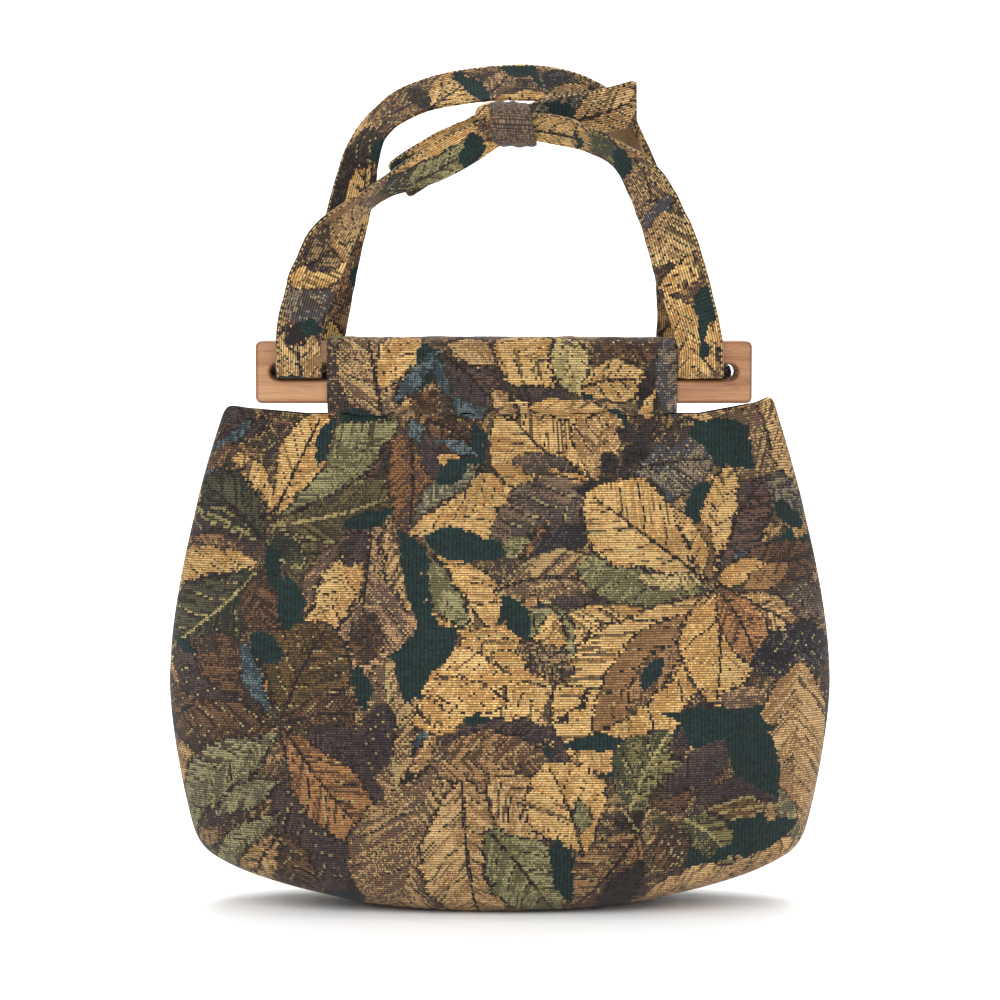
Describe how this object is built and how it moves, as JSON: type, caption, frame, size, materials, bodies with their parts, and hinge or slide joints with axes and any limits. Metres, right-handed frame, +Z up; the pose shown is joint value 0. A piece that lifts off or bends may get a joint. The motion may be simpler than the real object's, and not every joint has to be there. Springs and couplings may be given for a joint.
{
  "type": "handbag with slotted wooden bars",
  "caption": "Soft tapestry handbag with a boat-shaped body, two slotted wooden top bars in sleeves and one flat strap threaded through them and tied.",
  "frame": {"origin": "middle of the flat sole that the bag stands on", "axes": "+X along the wooden bars to the wearer's left of the front view, +Y from the knotted front face to the back, +Z up"},
  "size_m": [0.3326, 0.1001, 0.4224],
  "materials": {
    "body_tapestry": "ribbed jacquard tapestry of leaves in gold, tan, olive, brown and slate on very dark green, matt",
    "casing_tapestry": "the body's tapestry, folded over the bar",
    "bar_wood": "pinkish light brown stained wood, satin lacquer, eased edges",
    "strap_tapestry": "the same tapestry folded to a flat tape with its ribs along it, beige reverse"
  },
  "bodies": {
    "root": {"front_panel": "body_tapestry", "back_panel": "body_tapestry", "front_casing": "casing_tapestry", "back_casing": "casing_tapestry", "front_bar": "bar_wood", "back_bar": "bar_wood", "strap_back": "strap_tapestry", "strap_front_left": "strap_tapestry", "strap_front_right": "strap_tapestry", "strap_tail_left": "strap_tapestry", "strap_tail_right": "strap_tapestry", "strap_knot": "strap_tapestry"}
  },
  "joints": []
}
